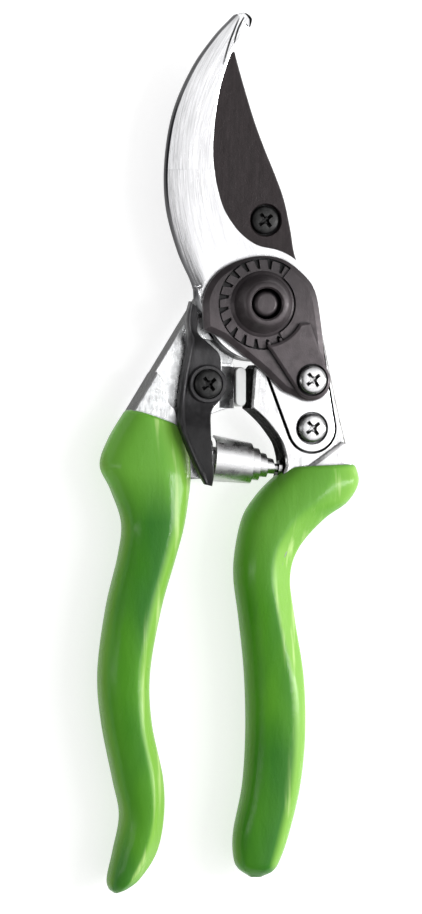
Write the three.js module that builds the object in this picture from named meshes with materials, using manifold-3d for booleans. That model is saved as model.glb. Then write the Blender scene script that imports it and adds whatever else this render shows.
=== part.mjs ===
// Bypass secateurs, blades closed, lying on their back on a flat surface.
// Millimetres. The pivot axis is +Z through the origin, and Z = 0 is the plane that the tool rests on.
// +Y runs from the handles to the tip of the blades, and +X to the handle that carries the hook.
// Left handle: cutting blade, thumb catch, bumper. Right handle: hook blade, pivot bolt, nut and nut lock.
import * as THREE from "three";
import { mergeVertices } from "three/addons/utils/BufferGeometryUtils.js";
import Module from "manifold-3d";

// ---- Driving dimensions -------------------------------------------------------------------------

const FIT = 0.3; // gap between pieces that touch on the real tool
const SKIM = 0.1; // gap between flat faces that lie on each other

const HUB_R = 13.6; // round of both blades about the pivot
const SLIDE_Z = 9.8; // plane in which the two blades slide on each other
const BLADE = { low: 6.5, high: SLIDE_Z - SKIM }; // cutting blade
const HOOK = { low: SLIDE_Z + SKIM, high: 13.9 }; // hook blade and its tang
const LEFT_HUB = { low: 1.0, high: BLADE.low - SKIM }; // forging behind the cutting blade
const LAND_Z = SLIDE_Z - SKIM; // machined land of the left forging, under the catch
const RIGHT_HEAD = { low: 2.4, high: 13.4 }; // forging of the right handle around the tang

const BOLT = { head: 7.4, headHigh: 2.9, shank: 4.0, thread: 3.4, end: 2.5, top: 19.6 };
const BUSH = { inner: BOLT.shank + FIT, outer: 5.4 };
const HEAD_SEAT = { radius: 8.0, z: 3.7 }; // counterbore for the bolt head in the left forging
const WASHER = { radius: 7.4, low: 3.0, high: 3.6 };

const NUT = { disc: 10.7, teeth: 20, phase: -10, tip: 10.4, root: 8.6, collar: 7.2, rim: 5.0, bore: 3.7 };
const NUT_Z = { low: 14.0, disc: 14.6, teeth: 15.7, rim: 20.4 };
const COVER = { low: 14.0, high: 16.3, chamfer: 0.9, chamferWidth: 1.3, window: 11.0, eye: 7.9 };
const SEGMENT = { low: COVER.high + SKIM, high: 17.7, toothLow: 14.9 };

const SCREW = { head: 3.35, headHeight: 1.7, shank: 1.9, hole: 2.2 };
const CROSS = { wide: 0.9, long: 4.4, deep: 1.1 };
const SEGMENT_SCREW_AT = [11.6, -18.1];
const TANG_SCREW_AT = [12.4, -29.6];
const BLADE_SCREW_AT = [2.0, 20.2];
const CATCH_AT = [-13.0, -19.1];
const CATCH = { low: 10.4, high: 13.6, boss: 4.6 };

const PAD = { x: -4.6, y: -19.7, width: 2.6, length: 9.4, low: 2.6, high: 12.2 };
const COAT = 1.2; // thickness of the dipped grip
const CORE_GAP = COAT + FIT; // inset of the forging inside it

const SPRING = { outer: 5.8, inner: 1.7, turns: 3.5, strip: 9.6, thick: 0.7, length: 16.3 };
const SPRING_LEFT = new THREE.Vector3(-11.7, -36.9, 9.5); // middle of the wide end
const SPRING_RIGHT = new THREE.Vector3(4.9, -39.1, 9.5); // seat of the narrow end

const ARC_STEP = 12; // degrees along a round edge

// ---- Materials ----------------------------------------------------------------------------------

function finish(color, roughness, metalness) {
  return new THREE.MeshStandardMaterial({ color, roughness, metalness });
}

const polishedSteel = finish(0xdedfe2, 0.18, 1);
const castAluminium = finish(0xcfd1d2, 0.42, 1);
const darkSteel = finish(0x383335, 0.38, 0.6);
const blackCoat = finish(0x2b2b2d, 0.5, 0.2);
const greenVinyl = finish(0x5fa531, 0.24, 0);
const paleRubber = finish(0xe9ecea, 0.55, 0);
const bronze = finish(0xa97b3f, 0.4, 1);

// ---- Solids -------------------------------------------------------------------------------------

const wasm = await Module();
wasm.setup();

// A closed three.js geometry as a manifold solid, whichever way its faces were wound.
function solidOf(geometry) {
  const bare = geometry.index ? geometry.toNonIndexed() : geometry.clone();
  bare.deleteAttribute("normal");
  bare.deleteAttribute("uv");
  const merged = mergeVertices(bare, 1e-4);
  const vertProperties = merged.attributes.position.array;
  const triVerts = new Uint32Array(merged.index.array);
  const made = new wasm.Manifold(new wasm.Mesh({ numProp: 3, vertProperties, triVerts }));
  if (made.volume() >= 0) return made;
  const turned = new wasm.Mesh({ numProp: 3, vertProperties, triVerts: triVerts.reverse() });
  return new wasm.Manifold(turned);
}

function geometryOf(solid) {
  const mesh = solid.getMesh();
  const geometry = new THREE.BufferGeometry();
  geometry.setAttribute("position", new THREE.BufferAttribute(mesh.vertProperties, 3));
  geometry.setIndex(new THREE.BufferAttribute(mesh.triVerts, 1));
  geometry.computeVertexNormals();
  return geometry;
}

const join = (...solids) => solids.reduce((a, b) => a.add(b));
const cut = (solid, ...tools) => tools.reduce((a, b) => a.subtract(b), solid);

// Points along an arc, in degrees, ends included.
function arc(x, y, radius, from, to, step = ARC_STEP) {
  const count = Math.max(1, Math.ceil(Math.abs(to - from) / step));
  return Array.from({ length: count + 1 }, (_, i) => {
    const angle = THREE.MathUtils.degToRad(from + ((to - from) * i) / count);
    return [x + radius * Math.cos(angle), y + radius * Math.sin(angle)];
  });
}

// Points along a smooth curve through a few given points.
function smooth(points, count) {
  const curve = new THREE.SplineCurve(points.map(([x, y]) => new THREE.Vector2(x, y)));
  return curve.getPoints(count).map((p) => [p.x, p.y]);
}

// A closed outline from runs of points, without points that repeat.
function outline(...runs) {
  const points = runs.flat().map(([x, y]) => new THREE.Vector2(x, y));
  const apart = points.filter((p, i) => p.distanceTo(points[(i + 1) % points.length]) > 0.01);
  return new THREE.Shape(apart);
}

function plate(shape, low, high) {
  const geometry = new THREE.ExtrudeGeometry(shape, { depth: high - low, bevelEnabled: false });
  geometry.translate(0, 0, low);
  return solidOf(geometry);
}

const disc = (x, y, radius, low, high) => plate(outline(arc(x, y, radius, 0, 360)), low, high);

// A solid of revolution about a line parallel to Z, from [radius, z] points that start and end on it.
function turned(profile, x = 0, y = 0, segments = 30) {
  const geometry = new THREE.LatheGeometry(profile.map(([r, z]) => new THREE.Vector2(r, z)), segments);
  geometry.rotateX(Math.PI / 2);
  geometry.translate(x, y, 0);
  return solidOf(geometry);
}

// A closed skin over rings of points that all have the same number of points.
function skin(rings) {
  const sides = rings[0].length;
  const last = rings.length - 1;
  const positions = rings.flat().flatMap((p) => [p.x, p.y, p.z]);
  const faces = [];
  for (let i = 0; i < last; i++) {
    for (let k = 0; k < sides; k++) {
      const [a, b] = [i * sides + k, i * sides + ((k + 1) % sides)];
      faces.push(a, b, b + sides, a, b + sides, a + sides);
    }
  }
  for (let k = 1; k < sides - 1; k++) {
    faces.push(0, k + 1, k, last * sides, last * sides + k, last * sides + k + 1);
  }
  const geometry = new THREE.BufferGeometry();
  geometry.setAttribute("position", new THREE.Float32BufferAttribute(positions, 3));
  geometry.setIndex(faces);
  return solidOf(geometry);
}

// One section of a bar: an oval or a rounded box between a left and a right point and two heights.
function ringOf([lx, ly, rx, ry, low, high], power, sides) {
  const bulge = (c) => Math.sign(c) * Math.abs(c) ** (2 / power);
  return Array.from({ length: sides }, (_, k) => {
    const angle = (2 * Math.PI * k) / sides;
    const across = bulge(Math.cos(angle));
    const up = bulge(Math.sin(angle));
    return new THREE.Vector3(
      (lx + rx) / 2 + (across * (rx - lx)) / 2,
      (ly + ry) / 2 + (across * (ry - ly)) / 2,
      (low + high) / 2 + (up * (high - low)) / 2,
    );
  });
}

const bar = (sections, power = 2.4, sides = 16) => skin(sections.map((s) => ringOf(s, power, sides)));

// More sections on a smooth curve through the given ones.
function refined(sections, count) {
  const left = new THREE.CatmullRomCurve3(sections.map((s) => new THREE.Vector3(s[0], s[1], s[4])));
  const right = new THREE.CatmullRomCurve3(sections.map((s) => new THREE.Vector3(s[2], s[3], s[5])));
  return Array.from({ length: count + 1 }, (_, i) => {
    const a = left.getPoint(i / count);
    const b = right.getPoint(i / count);
    return [a.x, a.y, b.x, b.y, a.z, b.z];
  });
}

// The same sections, smaller by a wall thickness all round.
function inset(sections, wall) {
  return sections.map(([lx, ly, rx, ry, low, high]) => {
    const width = Math.hypot(rx - lx, ry - ly);
    const [ux, uy] = [(rx - lx) / width, (ry - ly) / width];
    return [lx + ux * wall, ly + uy * wall, rx - ux * wall, ry - uy * wall, low + wall, high - wall];
  });
}

// A pan-head screw with a cross recess. top is the top of its head.
function screw([x, y], top, tip) {
  const seat = top - SCREW.headHeight;
  const crown = 0.35; // rounding of the head's rim
  const body = turned(
    [
      [0, tip],
      [SCREW.shank, tip],
      [SCREW.shank, seat],
      [SCREW.head, seat],
      [SCREW.head, top - 2 * crown],
      [SCREW.head - crown, top - crown / 2],
      [SCREW.head - 3 * crown, top],
      [0, top],
    ],
    x,
    y,
    20,
  );
  const slots = [45, 135].map((angle) => {
    const slot = new THREE.BoxGeometry(CROSS.long, CROSS.wide, 2 * CROSS.deep);
    slot.rotateZ(THREE.MathUtils.degToRad(angle));
    slot.translate(x, y, top);
    return solidOf(slot);
  });
  return cut(body, ...slots);
}

const screwHole = ([x, y], low, high) => disc(x, y, SCREW.hole, low, high);
const screwSeat = ([x, y], low, high) => disc(x, y, SCREW.head + FIT, low, high);

// ---- Handles ------------------------------------------------------------------------------------

// Sections of the grips from the mouth down: left x, y, right x, y, then the lowest and highest z.
const LEFT_GRIP = [
  [-31.8, -24.9, -19.6, -28.9, 1.2, 16.4],
  [-36.3, -32.2, -17.0, -34.6, 0.4, 18.0],
  [-38.3, -38.4, -16.5, -40.6, 0, 19],
  [-35.7, -44.2, -17.1, -46.4, 0, 19],
  [-33.0, -52.0, -18.4, -53.6, 0, 19],
  [-33.8, -60.0, -20.6, -61.4, 0, 19],
  [-36.7, -72.2, -23.9, -72.8, 0, 19],
  [-38.8, -87.6, -26.6, -87.6, 0, 19],
  [-37.8, -99.6, -26.2, -99.8, 0, 18.8],
  [-35.1, -113.2, -23.4, -113.0, 0.2, 18.4],
  [-33.4, -121.8, -23.2, -122.6, 0.6, 17.8],
  [-35.0, -130.4, -24.9, -130.8, 1.2, 17.2],
  [-36.4, -136.6, -28.8, -136.8, 2.4, 16.2],
  [-36.1, -139.3, -32.0, -139.4, 4.6, 14.2],
  [-34.9, -140.4, -34.2, -140.4, 8.0, 11.0],
];
const RIGHT_GRIP = [
  [7.2, -38.8, 23.8, -38.1, 1.2, 17.2],
  [3.2, -42.0, 24.6, -42.6, 0.4, 18.4],
  [-0.4, -45.8, 21.8, -47.3, 0, 19],
  [-3.4, -50.6, 16.0, -51.4, 0, 19],
  [-5.1, -58.0, 9.9, -58.0, 0, 19],
  [-5.5, -65.4, 7.6, -65.2, 0, 19],
  [-4.2, -75.6, 8.8, -75.6, 0, 19],
  [-2.9, -89.0, 10.9, -89.0, 0, 19],
  [-2.6, -102.6, 11.3, -102.8, 0, 18.8],
  [-3.4, -115.0, 10.1, -115.2, 0.2, 18.4],
  [-5.6, -126.0, 7.5, -126.2, 0.8, 17.8],
  [-5.6, -132.0, 5.3, -132.6, 1.8, 16.8],
  [-4.5, -134.9, 3.6, -135.4, 3.6, 15.2],
  [-1.8, -136.9, 0.8, -136.9, 7.6, 11.4],
];
const GRIP_RINGS = 27;
const CORE_RINGS = 16;

// A section above a grip's mouth, so that a core or a cutter reaches out of it.
function stretched(sections, above) {
  const [first, second] = sections;
  const dx = first[0] + first[2] - second[0] - second[2];
  const dy = first[1] + first[3] - second[1] - second[3];
  const share = above / Math.hypot(dx / 2, dy / 2);
  const [mx, my] = [(dx / 2) * share, (dy / 2) * share];
  return [[first[0] + mx, first[1] + my, first[2] + mx, first[3] + my, first[4], first[5]], ...sections];
}

const corePart = (sections) => sections.slice(0, -3); // the metal ends short of the grip's rounded end

function grip(sections, pegHole) {
  const cavity = stretched(inset(refined(corePart(sections), CORE_RINGS), COAT), 4);
  return cut(bar(refined(sections, GRIP_RINGS)), bar(cavity), pegHole);
}

// A forging: the plates of its head, kept clear of the grip, and the tapered core inside the grip.
function forging(sections, plates) {
  const clearance = bar(inset(refined(sections, GRIP_RINGS), -FIT));
  const core = bar(stretched(inset(refined(corePart(sections), CORE_RINGS), CORE_GAP), 2.5));
  return join(cut(join(...plates), clearance), core);
}

// ---- Left side: forging, cutting blade, bumper, catch ---------------------------------------------

function leftForging() {
  const carrier = outline(
    arc(...BLADE_SCREW_AT, 4.9, 10, 175),
    [[-9.6, 9.2], [0, -4], [10.2, 8.4]],
  );
  const arm = outline([
    [0, 0],
    [-14.2, 1.6],
    [-30.6, -25.0],
    [-19.6, -28.6],
    [-13.0, -33.4],
    [-12.6, -26.6],
    [-6.6, -24.6],
    [-6.1, -15.2],
  ]);
  const cast = outline(
    smooth([[-25.2, -16.2], [-23.7, -18.4], [-23.3, -20.9], [-22.4, -23.2], [-20.6, -25.4]], 8),
    [[-19.4, -29.4], [-17.6, -31.0], [-31.2, -31.0], [-31.2, -26.0]],
  );
  const lug = outline([[-6.6, -24.5], [-6.1, -15.3], [-7.6, -14.4], [-8.4, -24.9]]);
  const springSeat = outline([[-17.4, -28.0], [-13.0, -32.0], [-13.2, -41.6], [-17.6, -41.8]]);
  const body = forging(LEFT_GRIP, [
    disc(0, 0, HUB_R, LEFT_HUB.low, LEFT_HUB.high),
    plate(carrier, LEFT_HUB.low, LEFT_HUB.high),
    plate(arm, 2.2, LAND_Z),
    plate(cast, 1.6, 13.2),
    plate(lug, 2.2, 11.6),
    plate(springSeat, 4.4, 13.6),
  ]);
  return cut(
    body,
    disc(0, 0, HUB_R + FIT, LEFT_HUB.high, 20),
    disc(0, 0, HEAD_SEAT.radius, -1, HEAD_SEAT.z),
    disc(0, 0, BUSH.outer + FIT, 0, 8),
    disc(...CATCH_AT, CATCH.boss + FIT, LAND_Z, 20),
    screwHole(BLADE_SCREW_AT, 0, 8),
    screwHole(CATCH_AT, 3.2, 14),
    bumperPad(FIT),
    onSpringAxis(LEFT_PEG_HOLE),
  );
}

// Sections of the cutting blade from the tip to the pivot: edge x, y, then spine x, y.
const BLADE_SECTIONS = [
  [-6.1, 60.5, -5.5, 60.2],
  [-8.6, 56.4, -4.6, 56.8],
  [-11.6, 50.2, -2.8, 50.6],
  [-13.3, 43.4, -0.6, 43.6],
  [-13.9, 36.6, 1.8, 37.2],
  [-13.7, 30.0, 4.3, 31.2],
  [-13.0, 23.6, 6.5, 25.2],
  [-12.7, 17.2, 8.1, 18.0],
  [-13.1, 10.4, 9.3, 11.4],
  [-13.4, 4.4, 12.0, 6.4],
];
const BEVEL_WIDTH = 6.2;
const EDGE_LAND = 0.35;

function cuttingBlade() {
  const rings = refined(BLADE_SECTIONS.map((s) => [...s, 0, 0]), 18).map(([ex, ey, sx, sy]) => {
    const width = Math.hypot(sx - ex, sy - ey);
    const share = Math.min(0.62, BEVEL_WIDTH / width);
    const at = (t, z) => new THREE.Vector3(ex + (sx - ex) * t, ey + (sy - ey) * t, z);
    return [
      at(0, BLADE.high),
      at(0, BLADE.high - EDGE_LAND),
      at(share, BLADE.low),
      at(1, BLADE.low),
      at(1, BLADE.high),
    ];
  });
  return cut(
    join(skin(rings), disc(0, 0, HUB_R, BLADE.low, BLADE.high)),
    disc(0, 0, BUSH.outer + FIT, 0, 12),
    screwHole(BLADE_SCREW_AT, 0, 12),
    screwSeat(BLADE_SCREW_AT, BLADE.high - SCREW.headHeight - SKIM, 12),
  );
}

// The bumper pad: a pill, with a rib on its left that holds it in the forging. gap widens it for its seat.
function bumperPad(gap = 0) {
  const half = PAD.width / 2 + gap;
  const end = (PAD.length - PAD.width) / 2;
  const pill = outline(
    arc(PAD.x, PAD.y + end, half, 0, 180, 20),
    arc(PAD.x, PAD.y - end, half, 180, 360, 20),
  );
  const rib = outline([
    [PAD.x, PAD.y + 1.4 + gap],
    [PAD.x - half - 2, PAD.y + 2 + gap],
    [PAD.x - half - 2, PAD.y - 2 - gap],
    [PAD.x, PAD.y - 1.4 - gap],
  ]);
  return join(plate(pill, PAD.low - gap, PAD.high + 10 * gap), plate(rib, 4 - gap, 8.4 + gap));
}

// Sections of the thumb catch from its nose to the end of its tail.
const CATCH_SECTIONS = [
  [-17.8, 0.6, -16.2, -0.8, 14.1, 16.6],
  [-18.8, -3.4, -15.9, -4.2, 14.1, 16.8],
  [-18.5, -6.6, -15.8, -7.0, 13.9, 16.6],
  [-17.9, -9.6, -11.8, -10.2, CATCH.low, 14.2],
  [-18.2, -12.6, -9.9, -12.4, CATCH.low, CATCH.high],
  [-19.1, -17.3, -9.6, -17.0, CATCH.low, CATCH.high],
  [-19.8, -22.4, -9.4, -22.0, CATCH.low, CATCH.high],
  [-20.4, -26.2, -12.2, -25.4, 13.0, 15.2],
  [-20.6, -29.6, -13.0, -29.8, 15.4, 17.8],
  [-18.9, -34.6, -12.9, -35.2, 16.4, 19.0],
  [-16.6, -39.6, -12.5, -40.2, 16.4, 19.0],
  [-14.6, -43.0, -12.8, -43.4, 16.6, 18.5],
];

function thumbCatch() {
  const lever = bar(refined(CATCH_SECTIONS, 24), 5, 12);
  const boss = disc(...CATCH_AT, CATCH.boss, CATCH.low, CATCH.high + 0.4);
  return cut(
    join(lever, boss),
    disc(...CATCH_AT, 7, 0, CATCH.low),
    screwHole(CATCH_AT, 0, 30),
    screwSeat(CATCH_AT, CATCH.high - 0.6, 30),
  );
}

// ---- Right side: forging, hook blade, bolt, nut and nut lock ---------------------------------------

function rightForging() {
  const head = outline(
    arc(0, 0, HUB_R + 0.9, 267, 330),
    [[15.6, -7.3], [18.4, -20.5], [20.1, -27.7], [22.0, -35.4], [23.2, -40.6], [5.0, -42.0], [6.2, -38.6]],
    smooth([[5.9, -36.2], [5.2, -33.6], [4.0, -31.5], [1.8, -28.6], [-0.6, -26.2], [-2.3, -24.8]], 12),
    [[-1.6, -15.4]],
  );
  const shoulder = outline([[11.6, -38.6], [19.6, -32.8], [21.4, -33.2], [23.0, -40.0], [9.0, -41.6]]);
  const body = forging(RIGHT_GRIP, [
    plate(head, RIGHT_HEAD.low, RIGHT_HEAD.high),
    plate(shoulder, 2.6, 14.6),
  ]);
  return cut(
    body,
    plate(tangShape(FIT), HOOK.low - SKIM, 20),
    screwHole(SEGMENT_SCREW_AT, 3.6, 20),
    screwHole(TANG_SCREW_AT, 3.6, 20),
    onSpringAxis(RIGHT_PEG_HOLE),
  );
}

const TANG_R = 5.6;

// Outline of the tang, from inside the hub to its round end. gap widens it for the pocket.
function tangShape(gap = 0) {
  const [x, y] = TANG_SCREW_AT;
  return outline(
    [[-3.2 - gap, -4]],
    arc(x, y, TANG_R + gap, 200, 367),
    [[13.4 + gap, -1.6]],
  );
}

function hookBlade() {
  const jaw = outline(
    smooth(
      [
        [-15.9, 3.4], [-16.8, 6.0], [-19.9, 13.0], [-22.6, 23.2], [-22.9, 34.0],
        [-20.9, 45.8], [-16.3, 56.3], [-11.0, 63.9], [-6.0, 69.2],
      ],
      26,
    ),
    [[-4.3, 69.6], [-2.7, 69.2], [-2.0, 67.9]],
    smooth(
      [
        [-2.6, 66.0], [-4.8, 63.2], [-7.2, 60.0], [-9.8, 52.5], [-11.4, 43.0],
        [-11.6, 33.5], [-9.6, 24.0], [-6.0, 18.0], [-1.5, 14.4], [3.2, 13.2],
      ],
      32,
    ),
    [[0, 0], [-13.4, -2.4], [-14.6, -2.0], [-15.8, 1.2]],
  );
  const body = join(
    plate(jaw, HOOK.low, HOOK.high),
    disc(0, 0, HUB_R, HOOK.low, HOOK.high),
    plate(tangShape(), HOOK.low, HOOK.high),
  );
  return cut(
    body,
    disc(0, 0, BOLT.shank + FIT, 0, 20),
    screwHole(SEGMENT_SCREW_AT, 0, 20),
    screwHole(TANG_SCREW_AT, 0, 20),
    screwSeat(TANG_SCREW_AT, HOOK.high - 0.8, 20),
  );
}

const pivotBolt = () =>
  turned([
    [0, 0],
    [BOLT.head - 0.8, 0],
    [BOLT.head, 0.8],
    [BOLT.head, BOLT.headHigh],
    [BOLT.shank, BOLT.headHigh],
    [BOLT.shank, HOOK.high],
    [BOLT.thread, HOOK.high + 0.2],
    [BOLT.thread, BOLT.top - 0.9],
    [BOLT.end, BOLT.top],
    [0, BOLT.top],
  ]);

function ring(x, y, outer, inner, low, high) {
  return cut(disc(x, y, outer, low, high), disc(x, y, inner, low - 1, high + 1));
}

// A ring of teeth on a plain disc, with a tapered collar above them.
function pivotNut() {
  const pitch = 360 / NUT.teeth;
  const teeth = Array.from({ length: NUT.teeth }, (_, i) => [
    ...arc(0, 0, NUT.root, NUT.phase + (i - 0.19) * pitch, NUT.phase + (i + 0.19) * pitch, pitch),
    ...arc(0, 0, NUT.tip, NUT.phase + (i + 0.31) * pitch, NUT.phase + (i + 0.69) * pitch, pitch),
  ]);
  const collar = turned([
    [0, NUT_Z.disc],
    [NUT.collar, NUT_Z.disc],
    [NUT.collar, NUT_Z.teeth + 1.2],
    [NUT.rim + 0.4, NUT_Z.rim - 0.5],
    [NUT.rim - 0.2, NUT_Z.rim],
    [0, NUT_Z.rim],
  ]);
  return cut(
    join(
      disc(0, 0, NUT.disc, NUT_Z.low, NUT_Z.disc),
      plate(outline(...teeth), NUT_Z.disc, NUT_Z.teeth),
      collar,
    ),
    disc(0, 0, NUT.bore, 0, 30),
  );
}

const WINDOW = { from: 52, to: 300 }; // the part of the tooth ring that the cover leaves open

function nutCover() {
  const edge = outline(
    smooth(
      [
        ...[[-14.2, -6.2], [-14.5, -2.2], [-14.3, 1.8], [-11.9, 6.4], [-7.6, 9.6], [-1.4, 11.4]],
        ...[[4.4, 10.9], [9.1, 7.9], [12.7, 3.4], [14.2, -4.2], [15.0, -12.0], [15.6, -15.4]],
      ],
      34,
    ),
    arc(...SEGMENT_SCREW_AT, 5.0, 15, -120),
    [[5.0, -20.7], [0.2, -16.1], [-6.8, -10.4], [-9.8, -8.1]],
  );
  const blank = new THREE.ExtrudeGeometry(edge, {
    depth: COVER.high - COVER.low,
    bevelThickness: COVER.chamfer,
    bevelSize: COVER.chamferWidth,
    bevelOffset: -COVER.chamferWidth,
    bevelSegments: 1,
  });
  blank.translate(0, 0, COVER.low - COVER.chamfer);
  const window = outline(
    arc(0, 0, COVER.window, WINDOW.from, WINDOW.to),
    arc(0, 0, COVER.eye, WINDOW.to, WINDOW.from + 360),
  );
  const recess = disc(0, 0, COVER.window, 0, NUT_Z.teeth + SKIM); // lets the covered teeth turn under it
  const below = solidOf(new THREE.BoxGeometry(80, 80, 20).translate(0, 0, COVER.low - 10));
  return cut(solidOf(blank), below, plate(window, 0, 30), recess, screwHole(SEGMENT_SCREW_AT, 0, 30));
}

// The nut lock: a wedge under the segment screw whose teeth drop between those of the nut.
function lockSegment() {
  const [x, y] = SEGMENT_SCREW_AT;
  const pitch = 360 / NUT.teeth;
  const wedge = outline(
    arc(x, y, 4.5, 205, 380),
    [[13.2, -10.2], [11.2, -4.6]],
    arc(0, 0, 9.9, -28, -86, 8),
  );
  const teeth = [-3, -4].map((i) => {
    const gap = NUT.phase + i * pitch; // the middle of a gap between two teeth of the nut
    const root = arc(0, 0, 9.1, gap - 1.9, gap + 1.9, 4);
    const tooth = outline(root, arc(0, 0, 10.8, gap + 2.2, gap - 2.2, 5));
    return plate(tooth, SEGMENT.toothLow, SEGMENT.low + 0.3);
  });
  return cut(
    join(plate(wedge, SEGMENT.low, SEGMENT.high), ...teeth),
    screwHole(SEGMENT_SCREW_AT, 0, 30),
    screwSeat(SEGMENT_SCREW_AT, SEGMENT.high - 0.5, 30),
  );
}

// ---- Spring and its pegs ---------------------------------------------------------------------------

const springAlong = SPRING_RIGHT.clone().sub(SPRING_LEFT).normalize();
const springSide = new THREE.Vector3(-springAlong.y, springAlong.x, 0);
const zAxis = new THREE.Vector3(0, 0, 1);

// A point at a distance along the spring's axis from its wide end, and at a radius and angle about it.
const aboutSpring = (along, radius, angle) =>
  SPRING_LEFT.clone()
    .addScaledVector(springAlong, along)
    .addScaledVector(springSide, radius * Math.cos(angle))
    .addScaledVector(zAxis, radius * Math.sin(angle));

function voluteSpring() {
  const steps = Math.round(SPRING.turns * 14);
  const rise = SPRING.length - SPRING.strip;
  const rings = Array.from({ length: steps + 1 }, (_, i) => {
    const share = i / steps;
    const radius = SPRING.outer - SPRING.thick / 2 - (SPRING.outer - SPRING.inner) * share;
    const angle = share * SPRING.turns * 2 * Math.PI;
    const start = rise * share;
    return [
      [start, radius - SPRING.thick / 2],
      [start, radius + SPRING.thick / 2],
      [start + SPRING.strip, radius + SPRING.thick / 2],
      [start + SPRING.strip, radius - SPRING.thick / 2],
    ].map(([along, r]) => aboutSpring(along, r, angle));
  });
  return skin(rings);
}

// Turned pieces on the spring's axis, from [distance along it, radius] points.
function onSpringAxis(profile) {
  const sides = 16;
  const rings = profile.map(([along, radius]) =>
    Array.from({ length: sides }, (_, k) => aboutSpring(along, radius, (2 * Math.PI * k) / sides)),
  );
  return skin(rings);
}

// Pegs that carry the ends of the spring, and the holes that they are pressed into.
const springSpan = SPRING_RIGHT.distanceTo(SPRING_LEFT);
const LEFT_PEG = [[-4.2, 1.6], [-1.2, 1.6], [-1.2, 4.6], [-0.3, 4.6], [-0.3, 3.0], [1.2, 3.0], [1.6, 2.6]];
const LEFT_PEG_HOLE = [[-4.5, 1.9], [-1.3, 1.9], [-1.3, 6.2], [3, 6.2]];
const RIGHT_PEG = [
  [springSpan - 3.2, 0.7],
  [springSpan - 2.8, 1.0],
  [springSpan, 1.0],
  [springSpan, 1.9],
  [springSpan + 0.8, 1.9],
  [springSpan + 0.8, 1.5],
  [springSpan + 5.4, 1.5],
];
const RIGHT_PEG_HOLE = [
  [springSpan - 3, 2.3],
  [springSpan + 0.9, 2.3],
  [springSpan + 0.9, 1.8],
  [springSpan + 5.7, 1.8],
];

// ---- Assembly --------------------------------------------------------------------------------------

const cuttingSide = [
  ["left_handle_forging", leftForging(), castAluminium],
  ["left_grip", grip(LEFT_GRIP, onSpringAxis(LEFT_PEG_HOLE)), greenVinyl],
  ["cutting_blade", cuttingBlade(), darkSteel],
  ["blade_screw", screw(BLADE_SCREW_AT, BLADE.high, 1.6), blackCoat],
  ["pivot_bush", ring(0, 0, BUSH.outer, BUSH.inner, HEAD_SEAT.z + SKIM, BLADE.high - SKIM), bronze],
  ["bumper_pad", bumperPad(), paleRubber],
  ["catch_washer", ring(...CATCH_AT, 4.0, SCREW.hole, LAND_Z + SKIM, CATCH.low - SKIM), polishedSteel],
  ["catch_screw", screw(CATCH_AT, CATCH.high + 1.6, 4.4), blackCoat],
  ["spring_peg_left", onSpringAxis(LEFT_PEG), polishedSteel],
  ["volute_spring", voluteSpring(), polishedSteel],
];
const catchLever = [["thumb_catch", thumbCatch(), blackCoat]];
const hookSide = [
  ["right_handle_forging", rightForging(), castAluminium],
  ["right_grip", grip(RIGHT_GRIP, onSpringAxis(RIGHT_PEG_HOLE)), greenVinyl],
  ["hook_blade", hookBlade(), polishedSteel],
  ["tang_screw", screw(TANG_SCREW_AT, HOOK.high + 1.2, 4.4), polishedSteel],
  ["pivot_bolt", pivotBolt(), darkSteel],
  ["back_washer", ring(0, 0, WASHER.radius, BOLT.shank + FIT, WASHER.low, WASHER.high), polishedSteel],
  ["pivot_nut", pivotNut(), darkSteel],
  ["nut_cover", nutCover(), darkSteel],
  ["lock_segment", lockSegment(), darkSteel],
  ["segment_screw", screw(SEGMENT_SCREW_AT, SEGMENT.high + 1.4, 4.4), polishedSteel],
  ["spring_peg_right", onSpringAxis(RIGHT_PEG), polishedSteel],
];

// One group for each of the three bodies that move against each other.
const secateurs = new THREE.Group();
for (const side of [cuttingSide, catchLever, hookSide]) {
  const group = new THREE.Group();
  for (const [name, solid, material] of side) {
    const mesh = new THREE.Mesh(geometryOf(solid), material.clone());
    mesh.name = name;
    group.add(mesh);
  }
  secateurs.add(group);
}

export default secateurs;
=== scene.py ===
import math

import bmesh
import bpy
import numpy as np
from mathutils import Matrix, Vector


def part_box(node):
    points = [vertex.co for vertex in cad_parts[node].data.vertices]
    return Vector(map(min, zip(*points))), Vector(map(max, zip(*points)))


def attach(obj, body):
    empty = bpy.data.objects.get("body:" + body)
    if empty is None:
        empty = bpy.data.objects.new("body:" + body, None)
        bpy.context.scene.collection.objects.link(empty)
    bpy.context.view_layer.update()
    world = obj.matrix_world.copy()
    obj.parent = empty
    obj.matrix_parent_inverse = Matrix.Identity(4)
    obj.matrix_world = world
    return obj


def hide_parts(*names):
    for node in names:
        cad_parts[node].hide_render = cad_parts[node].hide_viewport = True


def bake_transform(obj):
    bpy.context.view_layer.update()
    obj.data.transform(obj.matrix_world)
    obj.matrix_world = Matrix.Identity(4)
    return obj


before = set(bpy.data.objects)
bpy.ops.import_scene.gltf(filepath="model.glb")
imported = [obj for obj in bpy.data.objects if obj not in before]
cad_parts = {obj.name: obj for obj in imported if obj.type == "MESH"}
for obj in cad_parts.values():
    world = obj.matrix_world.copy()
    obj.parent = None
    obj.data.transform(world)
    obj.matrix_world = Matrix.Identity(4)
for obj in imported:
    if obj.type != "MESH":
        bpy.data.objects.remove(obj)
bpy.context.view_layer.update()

# Bypass secateurs lying on their back. Lengths below are millimetres in the frame's own axes:
# the pivot axis is +Z through the origin, +Y runs to the tip of the blades, +X to the hook's handle.
MM = 0.001
CUTTING, HOOK_SIDE, CATCH_BODY = "cutting_side", "hook_side", "catch_lever"


def levels(node):
    """The lowest and highest z of a CAD node, in millimetres."""
    low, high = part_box(node)
    return round(low[2] / MM, 3), round(high[2] / MM, 3)


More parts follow.
